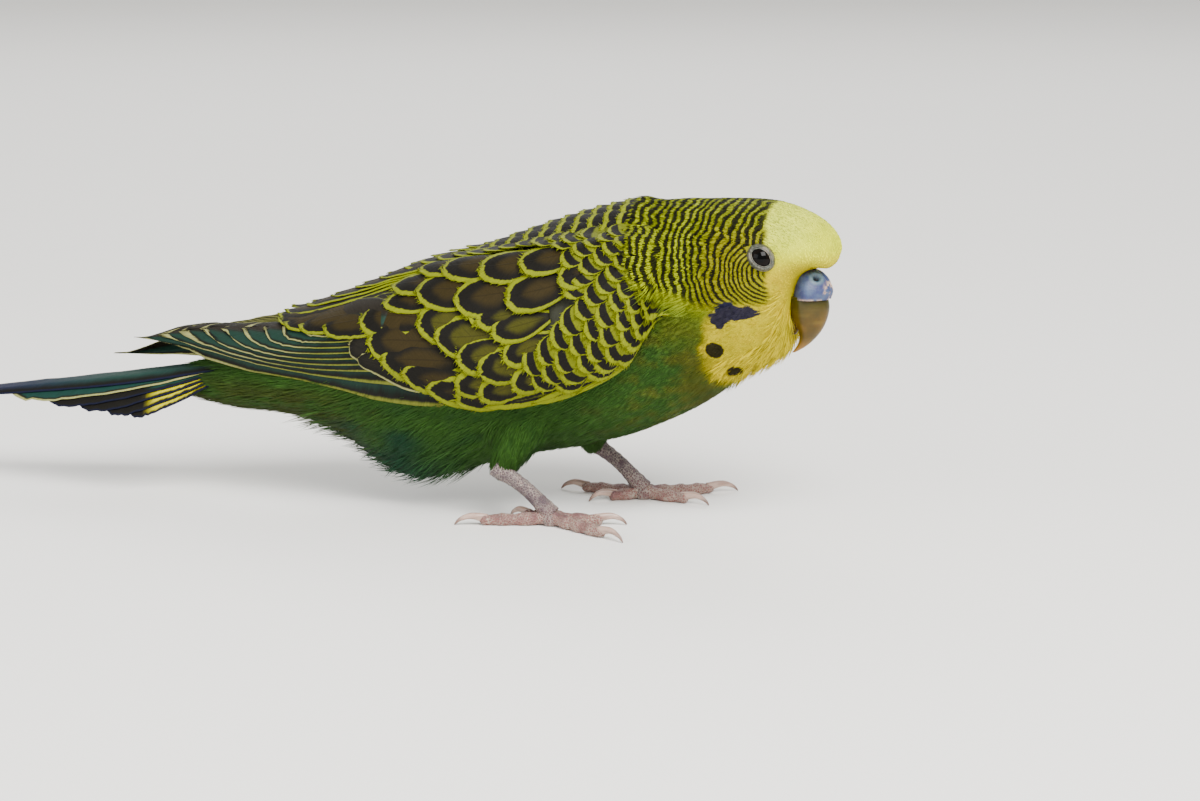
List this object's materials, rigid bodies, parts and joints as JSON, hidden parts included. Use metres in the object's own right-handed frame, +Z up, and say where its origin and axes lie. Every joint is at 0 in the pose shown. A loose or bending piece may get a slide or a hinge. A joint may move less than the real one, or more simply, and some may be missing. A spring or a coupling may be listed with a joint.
{
  "type": "budgerigar",
  "caption": "Life-size still model of a green budgerigar, crouched on both feet with folded wings, a long graduated tail and its head turned a little to its right.",
  "frame": {"origin": "centre of the bounding box, at the floor that both feet stand on", "axes": "+X from the tail towards the head, along the body; +Y towards the bird's left side; +Z up"},
  "size_m": [0.2024, 0.048, 0.0615],
  "materials": {
    "face_plumage": "soft matt feathers, lemon to yellow, with fine dark bars behind the eye",
    "nape_plumage": "soft matt feathers, yellow-green with fine dark bars",
    "body_plumage": "soft matt feathers, deep green",
    "wing_plumage": "smooth feathers, brown-black with yellow-green edges",
    "tail_plumage": "smooth long feathers, dark blue with yellow patches on the outer ones",
    "leg_skin": "fine pale scales on grey-pink skin",
    "claw_horn": "horn, satin",
    "bill_horn": "olive-yellow horn, satin",
    "cere_skin": "smooth blue-violet cere, paler near the nostrils",
    "eye": "wet, nearly black"
  },
  "bodies": {
    "root": {"head": "face_plumage", "neck": "nape_plumage", "breast": "body_plumage", "belly": "body_plumage", "rump": "body_plumage", "tail": "tail_plumage", "bill_upper": "bill_horn", "bill_lower": "bill_horn", "cere": "cere_skin", "eye_right": "eye", "eye_left": "eye", "wing_right": "wing_plumage", "wing_left": "wing_plumage", "thigh_right": "body_plumage", "shank_right": "leg_skin", "toe_1_right": "leg_skin", "claw_1_right": "claw_horn", "toe_2_right": "leg_skin", "claw_2_right": "claw_horn", "toe_3_right": "leg_skin", "claw_3_right": "claw_horn", "toe_4_right": "leg_skin", "claw_4_right": "claw_horn", "thigh_left": "body_plumage", "shank_left": "leg_skin", "toe_1_left": "leg_skin", "claw_1_left": "claw_horn", "toe_2_left": "leg_skin", "claw_2_left": "claw_horn", "toe_3_left": "leg_skin", "claw_3_left": "claw_horn", "toe_4_left": "leg_skin", "claw_4_left": "claw_horn"}
  },
  "joints": []
}
